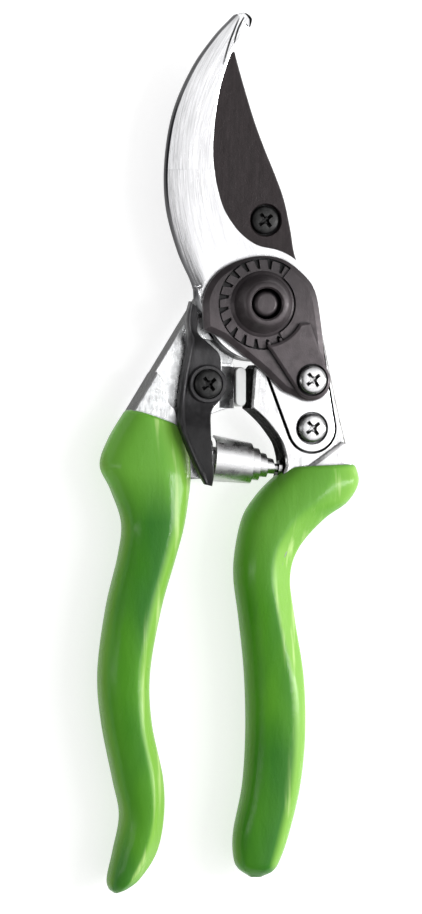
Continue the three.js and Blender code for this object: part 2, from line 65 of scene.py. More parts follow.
def middle(node):
    """The middle of a CAD node in the plane of the blades, in millimetres."""
    low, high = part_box(node)
    return tuple(round((low[i] + high[i]) / 2 / MM, 3) for i in (0, 1))


HUB_R = 13.6  # round part of both blades and of the left forging
HUB_Z = (1.0, 6.4)
LAND_Z = 9.7  # face of the left forging that the catch lies on
TANG_R = 5.6  # round end of the hook's tang
CLEAR_R = 2.2  # hole round a screw's shank
SUNK_R = 3.65  # recess round a screw's head
PITCH = 18.0  # degrees from one tooth of the nut to the next
FIRST_TOOTH = -10.0
BLADE_Z = levels("cutting_blade")
HOOK_Z = levels("hook_blade")
COVER_Z = levels("nut_cover")
SEGMENT_Z = (COVER_Z[1] + 0.1, levels("lock_segment")[1])
SEGMENT_SCREW = middle("segment_screw")
TANG_SCREW = middle("tang_screw")
BLADE_SCREW = middle("blade_screw")
CATCH_SCREW = middle("catch_screw")

# ---- Outlines and solids ------------------------------------------------------------------------


def refined(rows, shares):
    """Rows on a Catmull-Rom curve through the given ones, at the given shares of its length."""
    p = np.array(rows, float)
    p = np.vstack([2 * p[0] - p[1], p, 2 * p[-1] - p[-2]])
    spans = len(rows) - 1
    made = []
    for share in shares:
        t = share * spans
        k = min(int(t), spans - 1)
        f = t - k
        a, b, c, d = p[k : k + 4]
        bend = (2 * a - 5 * b + 4 * c - d) * f**2 + (3 * b - a - 3 * c + d) * f**3
        made.append(0.5 * (2 * b + (c - a) * f + bend))
    return made


def smooth(points, count):
    """Points on a smooth curve through the given ones."""
    return [tuple(point) for point in refined(points, np.linspace(0, 1, count + 1))]


def arc(x, y, radius, start, end, step=4):
    """Points along an arc, in degrees, ends included."""
    count = max(1, math.ceil(abs(end - start) / step))
    angles = np.radians(np.linspace(start, end, count + 1))
    return [(x + radius * math.cos(a), y + radius * math.sin(a)) for a in angles]


def tidy(outline):
    """The outline anticlockwise, without points that repeat."""
    kept = [p for i, p in enumerate(outline) if math.dist(p, outline[i - 1]) > 0.02]
    p = np.array(kept)
    following = np.roll(p, -1, axis=0)
    area = np.sum(p[:, 0] * following[:, 1] - following[:, 0] * p[:, 1])
    return p if area > 0 else p[::-1]


def inset(outline, distance):
    """The outline moved inwards, with mitred corners."""
    ahead = np.roll(outline, -1, axis=0) - outline
    ahead /= np.linalg.norm(ahead, axis=1)[:, None]
    inward = np.stack([-ahead[:, 1], ahead[:, 0]], axis=1)
    before = np.roll(inward, 1, axis=0)
    share = 1 + np.sum(inward * before, axis=1)
    return outline + distance * (inward + before) / np.maximum(share, 0.5)[:, None]


def piece_of(name, vertices, faces):
    mesh = bpy.data.meshes.new(name)
    mesh.from_pydata((np.asarray(vertices, float) * MM).tolist(), [], faces)
    mesh.validate()
    piece = bpy.data.objects.new(name, mesh)
    bpy.context.collection.objects.link(piece)
    return piece


def skin(name, rings):
    """A closed skin over rings of points that all have the same number of points."""
    sides = len(rings[0])
    faces = []
    for i in range(len(rings) - 1):
        for k in range(sides):
            a, b = i * sides + k, i * sides + (k + 1) % sides
            faces.append((a, b, b + sides, a + sides))
    faces.append(tuple(reversed(range(sides))))
    faces.append(tuple(range((len(rings) - 1) * sides, len(rings) * sides)))
    piece = piece_of(name, np.vstack([np.asarray(r, float) for r in rings]), faces)
    outward(piece)
    return piece


def outward(piece):
    """Turns every face of a closed piece to face out."""
    work = bmesh.new()
    work.from_mesh(piece.data)
    bmesh.ops.recalc_face_normals(work, faces=work.faces)
    work.to_mesh(piece.data)
    work.free()


def at_height(outline, z):
    return np.column_stack([outline, np.full(len(outline), z)])


def plate(name, outline, low, high, edge=0.25, chamfer=None):
    """A plate with rounded edges. chamfer is the width and height of a slope along its upper edge."""
    shape = tidy(outline)
    rounding = [(edge * (1 - math.sin(a)), edge * (1 - math.cos(a))) for a in np.radians((0, 45, 90))]
    rings = [at_height(inset(shape, inwards), low + up) for inwards, up in rounding]
    if chamfer:
        width, height = chamfer
        top = [(0, height), (width - 0.1, 0.08), (width + 0.15, 0)]
    else:
        top = reversed(rounding)
    rings += [at_height(inset(shape, inwards), high - down) for inwards, down in top]
    return skin(name, rings)


def turned(name, profile, at=(0, 0), segments=72):
    """A solid of revolution about a line parallel to Z, from (radius, z) points off the axis."""
    angles = np.linspace(0, 2 * math.pi, segments, endpoint=False)
    rings = [
        [(at[0] + r * math.cos(a), at[1] + r * math.sin(a), z) for a in angles]
        for r, z in profile
    ]
    return skin(name, rings)


def disc(name, at, radius, low, high, edge=0.2):
    profile = [(radius - edge, low), (radius, low + edge), (radius, high - edge), (radius - edge, high)]
    return turned(name, profile, at)


def bore(at, radius, low, high, flare=0.25, mouth=None):
    """A cutter for a round hole whose mouth, at height mouth, is flared."""
    profile = [(radius, low)]
    if mouth is not None:
        profile += [(radius, mouth - flare), (radius + 2 * flare, mouth + flare)]
    profile.append((profile[-1][0], high))
    return turned("bore", profile, at)


def bake(piece):
    """Replaces a piece's mesh by what its modifiers make of it."""
    evaluated = piece.evaluated_get(bpy.context.evaluated_depsgraph_get())
    mesh = bpy.data.meshes.new_from_object(evaluated)
    piece.modifiers.clear()
    piece.data = mesh
    return piece


def combine(piece, tools, operation):
    for tool in tools:
        modifier = piece.modifiers.new("boolean", "BOOLEAN")
        modifier.operation = operation
        modifier.solver = "EXACT"
        modifier.object = tool
        bake(piece)
        bpy.data.objects.remove(tool)
    return piece


def cut(piece, *tools):
    return combine(piece, tools, "DIFFERENCE")


def join(piece, *tools):
    return combine(piece, tools, "UNION")


def moat(at, inner, outer, low, high):
    """A cutter for a ring-shaped groove."""
    island = turned("island", [(inner, low - 1), (inner, high + 1)], at)
    return cut(turned("moat", [(outer, low), (outer, high)], at), island)


def follow(name, path, profile):
    """A solid swept along (x, y) points. profile gives its (offset to the left, z) points at a share."""
    p = np.array(path)
    ahead = np.gradient(p, axis=0)
    ahead /= np.linalg.norm(ahead, axis=1)[:, None]
    left = np.stack([-ahead[:, 1], ahead[:, 0]], axis=1)
    rings = []
    for i in range(len(p)):
        section = profile(i / (len(p) - 1))
        rings.append([(*(p[i] + left[i] * offset), z) for offset, z in section])
    return skin(name, rings)


# ---- Materials ----------------------------------------------------------------------------------

FLOOR_GLOW = 0.72  # the floor is a lit sheet, so that shadows on it stay pale
# Dark colour that paints shade into narrow gaps and corners
PAINTED_SHADE = (0.02, 0.02, 0.022)


class Surface:
    """A node material for one kind of surface. Texture space is the object's own, in metres."""

    def __init__(self, name, roughness, metallic, specular=0.5):
        self.material = bpy.data.materials.new(name)
        self.material.use_nodes = True
        self.nodes = self.material.node_tree.nodes
        self.links = self.material.node_tree.links
        self.shader = self.nodes["Principled BSDF"]
        self.shader.inputs["Metallic"].default_value = metallic
        self.shader.inputs["Roughness"].default_value = roughness
        self.shader.inputs["Specular IOR Level"].default_value = specular
        self.place = self.nodes.new("ShaderNodeTexCoord")
        self.space = self.place.outputs["Object"]
        self.color = None

    def node(self, kind, **values):
        made = self.nodes.new(kind)
        for key, value in values.items():
            setattr(made, key, value)
        return made

    def math(self, operation, a, b=0.0):
        made = self.node("ShaderNodeMath", operation=operation)
        for socket, value in zip(made.inputs, (a, b)):
            if isinstance(value, (int, float)):
                socket.default_value = value
            else:
                self.links.new(value, socket)
        return made.outputs[0]

    def around(self, x, y):
        """Texture space that follows arcs about a point, so that grain runs along a curved blade."""
        parts = self.node("ShaderNodeSeparateXYZ")
        self.links.new(self.place.outputs["Object"], parts.inputs[0])
        dx = self.math("SUBTRACT", parts.outputs[0], x * MM)
        dy = self.math("SUBTRACT", parts.outputs[1], y * MM)
        squares = (self.math("MULTIPLY", dx, dx), self.math("MULTIPLY", dy, dy))
        radius = self.math("SQRT", self.math("ADD", *squares))
        turn = self.math("MULTIPLY", self.math("ARCTAN2", dy, dx), 0.05)
        joined = self.node("ShaderNodeCombineXYZ")
        self.links.new(radius, joined.inputs[0])
        self.links.new(turn, joined.inputs[1])
        self.links.new(parts.outputs[2], joined.inputs[2])
        self.space = joined.outputs[0]
        return self

    def noise(self, scale, low=0.0, high=1.0, detail=4.0, start=0.35, end=0.65):
        """Noise with its own scale along each axis, spread between low and high."""
        mapping = self.node("ShaderNodeMapping")
        mapping.inputs["Scale"].default_value = scale
        texture = self.node("ShaderNodeTexNoise")
        texture.inputs["Scale"].default_value = 1.0
        texture.inputs["Detail"].default_value = detail
        self.links.new(self.space, mapping.inputs["Vector"])
        self.links.new(mapping.outputs[0], texture.inputs["Vector"])
        return self.spread(texture.outputs["Fac"], start, end, low, high)

    def spread(self, value, start, end, low=0.0, high=1.0):
        made = self.node("ShaderNodeMapRange")
        self.links.new(value, made.inputs["Value"])
        for key, number in zip(("From Min", "From Max", "To Min", "To Max"), (start, end, low, high)):
            made.inputs[key].default_value = number
        return made.outputs[0]

    def base(self, color):
        made = self.node("ShaderNodeRGB")
        made.outputs[0].default_value = (*color, 1)
        self.color = made.outputs[0]
        return self

    def tint(self, color, factor):
        """Mixes a colour into the base colour where factor is high."""
        made = self.node("ShaderNodeMix", data_type="RGBA")
        self.links.new(factor, made.inputs[0])
        self.links.new(self.color, made.inputs[6])
        made.inputs[7].default_value = (*color, 1)
        self.color = made.outputs[2]
        return self

    def facing(self, direction, start, end):
        """High on faces that look along a direction of the object's own space."""
        dot = self.node("ShaderNodeVectorMath", operation="DOT_PRODUCT")
        self.links.new(self.place.outputs["Normal"], dot.inputs[0])
        dot.inputs[1].default_value = direction
        return self.spread(dot.outputs["Value"], start, end)

    def walls(self, start=0.8, end=0.3):
        """High on faces that stand upright."""
        parts = self.node("ShaderNodeSeparateXYZ")
        self.links.new(self.place.outputs["Normal"], parts.inputs[0])
        return self.spread(self.math("ABSOLUTE", parts.outputs[2]), start, end)

    def along(self, axis, start, end):
        """High beyond a place on one of the object's axes, in millimetres."""
        parts = self.node("ShaderNodeSeparateXYZ")
        self.links.new(self.place.outputs["Object"], parts.inputs[0])
        return self.spread(parts.outputs["XYZ".index(axis)], start * MM, end * MM)

    def crevices(self, distance, start=0.75, end=0.2):
        """High in narrow gaps, found by ambient occlusion, where shade is painted into the colour."""
        made = self.node("ShaderNodeAmbientOcclusion", samples=8)
        made.inputs["Distance"].default_value = distance * MM
        return self.spread(made.outputs["AO"], start, end)

    def rough(self, value):
        self.links.new(value, self.shader.inputs["Roughness"])
        return self

    def shade_reflection(self, color, factor):
        """Tints a metal's reflection at a low angle towards a colour where factor is high: painted shade."""
        made = self.node("ShaderNodeMix", data_type="RGBA")
        self.links.new(factor, made.inputs[0])
        made.inputs[6].default_value = (1, 1, 1, 1)
        made.inputs[7].default_value = (*color, 1)
        self.links.new(made.outputs[2], self.shader.inputs["Specular Tint"])
        return self

    def level(self, value):
        self.links.new(value, self.shader.inputs["Specular IOR Level"])
        return self

    def bump(self, *layers):
        """Bump layers, each a height and a depth in millimetres."""
        normal = None
        for height, depth in layers:
            made = self.node("ShaderNodeBump")
            made.inputs["Distance"].default_value = depth * MM
            made.inputs["Strength"].default_value = 1.0
            self.links.new(height, made.inputs["Height"])
            if normal is not None:
                self.links.new(normal, made.inputs["Normal"])
            normal = made.outputs[0]
        self.links.new(normal, self.shader.inputs["Normal"])
        return self

    def done(self):
        self.links.new(self.color, self.shader.inputs["Base Color"])
        return self.material


def gray(value):
    return (value, value, value)


def hook_chrome():
    """Chrome with brushed grain along the curve of the blade, which is ground above its hub only, with painted
    shade on its walls, on its faces that look left and in its gaps.
    """
    s = Surface("hook_chrome", 0.22, 1.0).base((0.93, 0.93, 0.95))
    s.around(38, 32)
    ground = s.along("Y", 6, 24)
    s.tint((0.50, 0.50, 0.51), s.math("MULTIPLY", s.noise((2600, 120, 300), 0.0, 0.5, 8.0), ground))
    bands = s.noise((420, 90, 60), 0.0, 0.5, 3.0, 0.45, 0.7)
    s.tint((0.62, 0.62, 0.63), s.math("MULTIPLY", bands, ground))
    # Painted shade: upright walls, faces that look left and the steep corner of the back bevel are darkened,
    # and the walls' reflection is darkened too.
    s.tint((0.36, 0.36, 0.37), s.walls(0.86, 0.45))
    s.tint((0.17, 0.17, 0.175), s.facing((-1.0, 0.2, 0), 0.6, 0.9))
    s.tint((0.03, 0.03, 0.033), s.facing((-0.93, 0.1, 0.36), 0.94, 0.985))
    s.shade_reflection(gray(0.4), s.walls(0.86, 0.45))
    # Painted shade in narrow gaps.
    s.tint(PAINTED_SHADE, s.crevices(1.2, 0.8, 0.35))
    s.rough(s.noise((2200, 90, 200), 0.12, 0.3, 6.0))
    grain = s.noise((3200, 110, 400), detail=8.0)
    return s.bump((grain, 0.008), (s.noise((300, 160, 100)), 0.03)).done()


def bright_metal(name, base, streak, scale, wall, left_wall_shade=None, reach=1.0, cast=None, dents=0.04):
    """A polished metal with streaks, and with painted shade on its walls, on faces that look left or right and
    in gaps within reach of a corner.

    Above the height cast, in millimetres, it keeps its rough cast skin.
    """
    left_wall_shade = left_wall_shade or wall
    s = Surface(name, 0.3, 1.0).base(base)
    s.tint(streak, s.noise(scale, 0.0, 0.6, 6.0))
    if cast:
        unworked = s.along("Z", cast - 0.3, cast)
        s.tint((0.66, 0.67, 0.68), s.math("MULTIPLY", s.noise((350, 900, 350), 0.3, 1.0, 8.0), unworked))
        pits = s.noise((1600, 500, 900), 0.0, 0.6, 8.0, 0.52, 0.7)
        s.tint((0.34, 0.34, 0.35), s.math("MULTIPLY", pits, unworked))
    # Painted shade: upright walls and faces that look right take the colour wall, faces that look left the
    # darker left wall colour, and the walls' reflection is darkened.
    s.tint(wall, s.walls(0.96, 0.6))
    s.tint(wall, s.facing((1, 0, 0), 0.2, 0.5))
    s.tint(left_wall_shade, s.facing((-0.93, -0.36, 0), 0.3, 0.65))
    s.shade_reflection(left_wall_shade, s.walls(0.8, 0.35))
    # Painted shade in narrow gaps.
    s.tint(PAINTED_SHADE, s.crevices(reach, 0.72, 0.3))
    s.rough(s.noise((500, 500, 500), 0.18, 0.4, 5.0))
    fine = s.noise(tuple(2 * c for c in scale), detail=6.0)
    return s.bump((fine, 0.015), (s.noise((220, 220, 220)), dents)).done()


def dark_metal(name, base, bright, scale, roughness, darker=None):
    """Coated or burnished steel. It darkens from the first to the second place in darker, along Y."""
    s = Surface(name, roughness[0], 0.35, 0.4).base(base)
    s.tint(bright, s.noise(scale, 0.0, 0.6, 6.0))
    if darker:
        s.tint(tuple(0.42 * c for c in base), s.math("MULTIPLY", s.along("Y", *darker), 0.8))
    # Painted shade in narrow gaps.
    s.tint((0.003, 0.003, 0.0035), s.crevices(1.5, 0.85, 0.4))
    s.rough(s.noise((700, 700, 700), *roughness, 5.0))
    fine = s.noise((2600, 2600, 2600), detail=5.0)
    return s.bump((fine, 0.012), (s.noise((260, 260, 260)), 0.04)).done()


def vinyl(name, paler_from, paler_to):
    """Dipped vinyl, paler towards its mouth between two places along Y, with painted light on its right side,
    as highlight streaks along its ridge and on its edges that face left.
    """
    s = Surface(name, 0.3, 0.0, 0.2).base((0.075, 0.31, 0.018))
    s.tint((0.14, 0.43, 0.036), s.noise((95, 26, 60), 0.0, 0.6, 3.0))
    s.tint((0.035, 0.19, 0.028), s.noise((60, 22, 40), 0.0, 0.75, 2.0, 0.42, 0.62))
    s.tint((0.19, 0.50, 0.06), s.math("MULTIPLY", s.along("Y", paler_from, paler_to), 0.75))
    # Painted light: faces that look right are paler and yellower.
    s.tint((0.23, 0.50, 0.07), s.facing((0.83, 0, 0.55), 0.6, 0.92))
    # Painted highlights: pale streaks on the ridge.
    ridge = s.facing((0.6, 0, 0.8), 0.75, 0.97)
    highlight_streaks = s.noise((480, 26, 240), 0.0, 0.9, 4.0, 0.54, 0.68)
    s.tint((0.52, 0.74, 0.26), s.math("MULTIPLY", highlight_streaks, ridge))
    # Painted light on faces that look left.
    s.tint((0.15, 0.32, 0.025), s.math("MULTIPLY", s.facing((-1, 0, 0), 0.86, 0.99), 0.6))
    s.level(s.spread(s.walls(), 0.0, 1.0, 0.22, 0.03))
    s.rough(s.noise((160, 40, 100), 0.16, 0.34, 4.0))
    waves = s.noise((420, 160, 300), detail=3.0)
    return s.bump((waves, 0.04), (s.noise((2500, 2500, 2500)), 0.005)).done()


def rubber():
    s = Surface("pale_rubber", 0.5, 0.0, 0.4).base((0.95, 0.96, 0.955))
    s.tint((0.80, 0.82, 0.82), s.noise((300, 140, 200), 0.0, 0.4, 4.0))
    s.rough(s.noise((800, 800, 800), 0.42, 0.6))
    return s.bump((s.noise((1500, 1500, 1500), detail=5.0), 0.015)).done()


def floor_paint():
    s = Surface("pale_floor", 0.9, 0.0, 0.1).base((0.55, 0.55, 0.55))
    s.shader.inputs["Emission Color"].default_value = (1, 1, 1, 1)
    s.shader.inputs["Emission Strength"].default_value = FLOOR_GLOW
    s.tint((0.52, 0.52, 0.525), s.noise((30, 30, 30), 0.0, 0.5))
    s.rough(s.noise((60, 60, 60), 0.85, 0.95))
    return s.bump((s.noise((900, 900, 900)), 0.01)).done()


HOOK_CHROME = hook_chrome()
LEFT_ALUMINIUM = bright_metal(
    "forged_aluminium",
    base=(0.88, 0.89, 0.90),
    streak=(0.66, 0.67, 0.68),
    scale=(900, 130, 900),
    wall=gray(0.5),
    left_wall_shade=gray(0.3),
    reach=1.3,
    cast=12.5,
)
# A shaded copy of the forged aluminium: a darker base and nearly black walls facing left paint the shade on
# this forging.
RIGHT_ALUMINIUM = bright_metal(
    "forged_aluminium_right_shaded",
    base=(0.82, 0.82, 0.83),
    streak=(0.64, 0.64, 0.65),
    scale=(500, 90, 500),
    wall=gray(0.34),
    left_wall_shade=gray(0.09),
    reach=1.2,
)
ZINC = bright_metal(
    "bright_zinc",
    base=(0.88, 0.88, 0.89),
    streak=(0.55, 0.55, 0.56),
    scale=(700, 700, 700),
    wall=gray(0.3),
)
SPRING_STEEL = bright_metal(
    "spring_steel",
    base=(0.92, 0.92, 0.93),
    streak=(0.66, 0.66, 0.67),
    scale=(60, 300, 300),
    wall=gray(0.7),
    reach=0.2,
    dents=0.004,
)
BRONZE = bright_metal(
    "bronze",
    base=(0.55, 0.36, 0.16),
    streak=(0.30, 0.19, 0.08),
    scale=(600, 600, 600),
    wall=(0.4, 0.26, 0.12),
)
BLADE_COAT = dark_metal(
    "blade_coating",
    base=(0.014, 0.009, 0.010),
    bright=(0.026, 0.018, 0.020),
    scale=(1500, 110, 600),
    roughness=(0.3, 0.46),
)
BURNISHED = dark_metal(
    "burnished_steel",
    base=(0.080, 0.068, 0.073),
    bright=(0.125, 0.108, 0.114),
    scale=(420, 420, 420),
    roughness=(0.28, 0.44),
    darker=(-6, 8),
)
CATCH_PAINT = dark_metal(
    "catch_paint",
    base=(0.036, 0.035, 0.037),
    bright=(0.072, 0.070, 0.074),
    scale=(700, 300, 700),
    roughness=(0.34, 0.5),
    darker=(-24, -32),
)
BLACK_OXIDE = dark_metal(
    "black_oxide",
    base=gray(0.012),
    bright=gray(0.05),
    scale=(900, 900, 900),
    roughness=(0.3, 0.5),
)
LEFT_VINYL = vinyl("green_vinyl", -52, -40)
RIGHT_VINYL = vinyl("green_vinyl_right", -72, -54)
RUBBER = rubber()


def dress(piece, material, body, *nodes, slot=None):
    """Gives a piece its material, clean shading, a body to ride on and the CAD nodes it stands for."""
    piece.data.materials.clear()
    piece.data.materials.append(material)
    piece.data.shade_smooth()
    piece.data.set_sharp_from_angle(angle=math.radians(38))
    weighted = piece.modifiers.new("normals", "WEIGHTED_NORMAL")
    weighted.keep_sharp = True
    if nodes:
        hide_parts(*nodes)
    if body:
        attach(piece, body)
    return piece


# ---- Grips --------------------------------------------------------------------------------------

# Sections of the grips from the mouth down: left x, y, right x, y, then the lowest and highest z.
LEFT_GRIP = [
    (-31.8, -24.9, -19.6, -28.9, 1.2, 16.4),
    (-36.3, -32.2, -17.0, -34.6, 0.4, 18.0),
    (-38.3, -38.4, -16.5, -40.6, 0, 19),
    (-35.7, -44.2, -17.1, -46.4, 0, 19),
    (-33.0, -52.0, -18.4, -53.6, 0, 19),
    (-33.8, -60.0, -20.6, -61.4, 0, 19),
    (-36.7, -72.2, -23.9, -72.8, 0, 19),
    (-38.7, -87.6, -26.6, -87.6, 0, 19),
    (-37.8, -99.6, -26.2, -99.8, 0, 18.8),
    (-35.1, -113.2, -23.4, -113.0, 0.2, 18.4),
    (-33.4, -121.8, -23.2, -122.6, 0.6, 17.8),
    (-35.0, -130.4, -24.9, -130.8, 1.2, 17.2),
    (-36.4, -136.6, -28.8, -136.8, 2.4, 16.2),
    (-36.1, -139.3, -32.0, -139.4, 4.6, 14.2),
    (-34.9, -140.4, -34.2, -140.4, 8.0, 11.0),
]
RIGHT_GRIP = [
    (7.2, -38.8, 23.8, -38.1, 1.2, 17.2),
    (3.2, -42.0, 24.6, -42.6, 0.4, 18.4),
    (-0.4, -45.8, 21.8, -47.3, 0, 19),
    (-3.4, -50.6, 16.0, -51.4, 0, 19),
    (-5.1, -58.0, 9.9, -58.0, 0, 19),
    (-5.5, -65.4, 7.6, -65.2, 0, 19),
    (-4.2, -75.6, 8.8, -75.6, 0, 19),
    (-2.9, -89.0, 10.9, -89.0, 0, 19),
    (-2.6, -102.6, 11.3, -102.8, 0, 18.8),
    (-3.4, -115.0, 10.1, -115.2, 0.2, 18.4),
    (-5.6, -126.0, 7.5, -126.2, 0.8, 17.8),
    (-5.6, -132.0, 5.3, -132.6, 1.8, 16.8),
    (-4.5, -134.9, 3.6, -135.4, 3.6, 15.2),
    (-1.8, -136.9, 0.8, -136.9, 7.6, 11.4),
]
LIP = 1.1  # rounding of the dipped edge at the mouth
FULLNESS = 2.4  # exponent of the oval that a grip's section is, 2 for an ellipse
SHRINK = 0.990  # keeps the curves between the sections inside the CAD's width
CREST = 1.04  # height of the ridge where the panels meet, before it is rounded, for a half height of 1
LEFT_SLOPE = 0.20  # fall of the left panel per half width


def soft_min(a, b, sharpness):
    """The lower of two values, with the corner between them rounded: the sharper, the less."""
    return -math.log(math.exp(-sharpness * a) + math.exp(-sharpness * b)) / sharpness


def grip_ring(row, ridge, slope, pinch=0.0, sides=88):
    """A section of a grip: an oval with a soft ridge, and a flatter panel on each side of it.

    ridge is where the ridge is, from -1 at the left to 1, slope the fall of the right panel per half width
    and pinch how much smaller the section is all round.
    """
    lx, ly, rx, ry, low, high = row
    half_width = math.hypot(rx - lx, ry - ly) / 2
    ux, uy = (rx - lx) / 2 / half_width, (ry - ly) / 2 / half_width
    half_height = (high - low) / 2
    ring = []
    for k in range(sides):
        angle = 2 * math.pi * k / sides
        turn = (math.cos(angle), math.sin(angle))
        across, up = (math.copysign(abs(c) ** (2 / FULLNESS), c) for c in turn)
        left_panel = CREST + LEFT_SLOPE * (across - ridge)
        right_panel = CREST - slope * (across - ridge)
        height = soft_min(soft_min(abs(up), left_panel, 10.0), right_panel, 24.0)
        height = max(height, 0.0) if abs(up) > 0.02 else abs(up)
        reach = across * (half_width * SHRINK - pinch)
        z = (low + high) / 2 + math.copysign(height, up) * (half_height - pinch)
        ring.append(((lx + rx) / 2 + ux * reach, (ly + ry) / 2 + uy * reach, z))
    return ring


def grip(name, sections, ridges, slopes):
    """ridges and slopes are lists of (share of the length, value)."""
    lip_shares = [0.0, 0.0012, 0.003, 0.0055]
    shares = lip_shares + list(np.linspace(0.009, 1.0, 170))
    length_at_mouth = math.dist(sections[0][:2], sections[1][:2]) * (len(sections) - 1)
    rings = []
    for share, row in zip(shares, refined(sections, shares)):
        away = min(share * length_at_mouth / LIP, 1.0)
        pinch = LIP * (1 - math.sqrt(1 - (1 - away) ** 2))
        ridge = np.interp(share, *zip(*ridges))
        slope = np.interp(share, *zip(*slopes))
        rings.append(grip_ring(row, ridge, slope, pinch))
    return skin(name, rings)


left_grip = grip(
    "left_grip_vinyl",
    LEFT_GRIP,
    [(0, -0.3), (0.08, 0.1), (0.16, 0.5), (0.4, 0.48), (0.5, 0.36), (0.64, 0.25), (0.8, 0.15), (1, 0.1)],
    [(0, 0.35), (0.12, 0.4), (0.3, 0.75), (0.8, 0.8), (1, 0.5)],
)
dress(left_grip, LEFT_VINYL, CUTTING, "left_grip", slot="green_vinyl")

right_grip = grip(
    "right_grip_vinyl",
    RIGHT_GRIP,
    [(0, 0.1), (0.15, 0.1), (0.31, 0.0), (0.46, 0.1), (0.54, 0.3), (0.62, 0.45), (0.8, 0.55), (0.92, 0.4),
     (1, 0.2)],
    [(0, 0.35), (0.15, 0.45), (0.35, 0.7), (0.8, 0.8), (1, 0.5)],
)
dress(right_grip, RIGHT_VINYL, HOOK_SIDE, "right_grip", slot="green_vinyl")


def core(name, sections, wall=1.5):
    """The tapered end of a forging that the grip is dipped on, which stops short of the grip's end."""
    rows = []
    for lx, ly, rx, ry, low, high in refined(sections[:-3], np.linspace(0.02, 1, 24)):
        width = math.hypot(rx - lx, ry - ly)
        ux, uy = (rx - lx) / width * wall, (ry - ly) / width * wall
        rows.append((lx + ux, ly + uy, rx - ux, ry - uy, low + wall, high - wall))
    return skin(name, [grip_ring(row, 0.0, 0.0, sides=40) for row in rows])


# ---- Hook blade ---------------------------------------------------------------------------------

BACK_EDGE = smooth(
    [(-15.9, 3.4), (-16.8, 6.0), (-19.9, 13.0), (-22.6, 23.2), (-22.9, 34.0), (-20.9, 45.8),
     (-16.3, 56.3), (-11.0, 63.9), (-6.0, 69.2)],
    90,
)
INNER_EDGE = smooth(
    [(-2.6, 66.0), (-4.8, 63.2), (-7.2, 60.0), (-9.8, 52.5), (-11.4, 43.0), (-11.6, 33.5),
     (-9.6, 24.0), (-6.0, 18.0), (-1.5, 14.4), (3.2, 13.2)],
    100,
)


def tang_outline(gap=0.0):
    """The sides and round end of the tang, gap wider all round for the pocket that it lies in."""
    x, y = TANG_SCREW
    return [(-3.2 - gap, -4), *arc(x, y, TANG_R + gap, 200, 367), (13.4 + gap, -1.6)]


def hook_outline():
    x, y = TANG_SCREW
    return [
        *BACK_EDGE,
        *smooth([(-4.3, 69.6), (-2.9, 69.3), (-1.9, 68.2), (-2.1, 66.9)], 12),
        *INNER_EDGE,
        *arc(0, 0, HUB_R, 76, -6),
        *arc(x, y, TANG_R, 7, -160),
        *arc(0, 0, HUB_R, -88.3, -169),
        (-13.9, -2.4),
        (-14.6, -1.9),
        (-15.8, 1.2),
    ]


def hook_blade():
    """The hook, with a broad bevel along its back, a small one inside and two scored lines near its tip."""
    top = HOOK_Z[1]
    hook = plate("hook_blade_steel", hook_outline(), *HOOK_Z, edge=0.22)

    def back_bevel(share):
        places = [0, 0.06, 0.15, 0.5, 0.85, 1]
        width = np.interp(share, places, [1.0, 1.5, 3.4, 6.6, 4.6, 1.8])
        drop = np.interp(share, places, [1.6, 1.4, 0.75, 0.5, 0.2, 0.15])
        return [
            (2.0, top + 2),
            (2.0, top - drop - 6.0),
            (0.0, top - drop - 0.9),
            (-0.35, top - drop),
            (-0.3 * width - 0.2, top - 0.52 * drop),
            (-0.6 * width - 0.1, top - 0.18 * drop),
            (-width, top + 0.02),
            (-width, top + 2),
        ]

    def inner_bevel(share):
        near_tip = max(0.0, 1 - 6 * share)
        width = 0.5 + 2.0 * near_tip + 0.5 * share
        drop = 0.25 + 0.5 * near_tip
        low = top - drop * (1 + 2 / width)
        return [(2.0, top + 2), (2.0, low), (-width, top + 0.01), (-width, top + 2)]

    def groove(share):
        fade = math.sin(math.pi * share) ** 0.5
        return [(0.3, top + 0.3), (0.1, top - 0.6 * fade), (-0.1, top - 0.6 * fade), (-0.3, top + 0.3)]

    def nip(share):
        return [(-0.2, top + 1), (0.0, top), (0.8, top - 1.8), (3.0, top - 1.8), (3.0, top + 1)]

    heel = smooth([(-14.5, -2.2), (-15.6, 0.6), (-16.1, 3.4), *BACK_EDGE[4:6]], 14)
    bevel = follow("bevel", [*heel, *BACK_EDGE[6:]], back_bevel)
    above_hub = INNER_EDGE[:78]
    ease = follow("ease", above_hub, inner_bevel)
    rim = smooth([(-5.0, 69.9), (-3.9, 69.2), (-3.1, 68.2), (-2.9, 67.2), (-3.1, 66.0), (-3.9, 64.6)], 20)
    end = follow("end", rim, nip)
    lines = [
        follow("line", smooth([(-4.2, 68.6), (-5.7, 65.6), (-6.7, 62.2)], 20), groove),
        follow("line", smooth([(-5.4, 68.4), (-6.8, 65.0), (-8.0, 61.8), (-9.4, 57.0)], 30), groove),
    ]
    holes = [
        bore((0, 0), 4.3, 9, 15, mouth=top),
        bore(SEGMENT_SCREW, CLEAR_R, 9, 15),
        bore(TANG_SCREW, CLEAR_R, 9, 15),
        bore(TANG_SCREW, SUNK_R, top - 0.8, 15),
        moat(TANG_SCREW, 3.2, 3.95, top - 1.4, 15),
    ]
    return cut(hook, bevel, ease, end, *lines, *holes)


dress(hook_blade(), HOOK_CHROME, HOOK_SIDE, "hook_blade", slot="chromed_steel")

# ---- Cutting blade ------------------------------------------------------------------------------

# Sections from the tip to the pivot: edge x, y, then spine x, y.
BLADE_SECTIONS = [
    (-6.1, 60.5, -5.5, 60.2),
    (-8.6, 56.4, -4.6, 56.8),
    (-11.6, 50.2, -2.8, 50.6),
    (-13.3, 43.4, -0.6, 43.6),
    (-13.9, 36.6, 1.8, 37.2),
    (-13.7, 30.0, 4.3, 31.2),
    (-13.0, 23.6, 6.5, 25.2),
    (-12.7, 17.2, 8.1, 18.0),
    (-13.1, 10.4, 9.3, 11.4),
    (-13.4, 4.4, 12.0, 6.4),
]


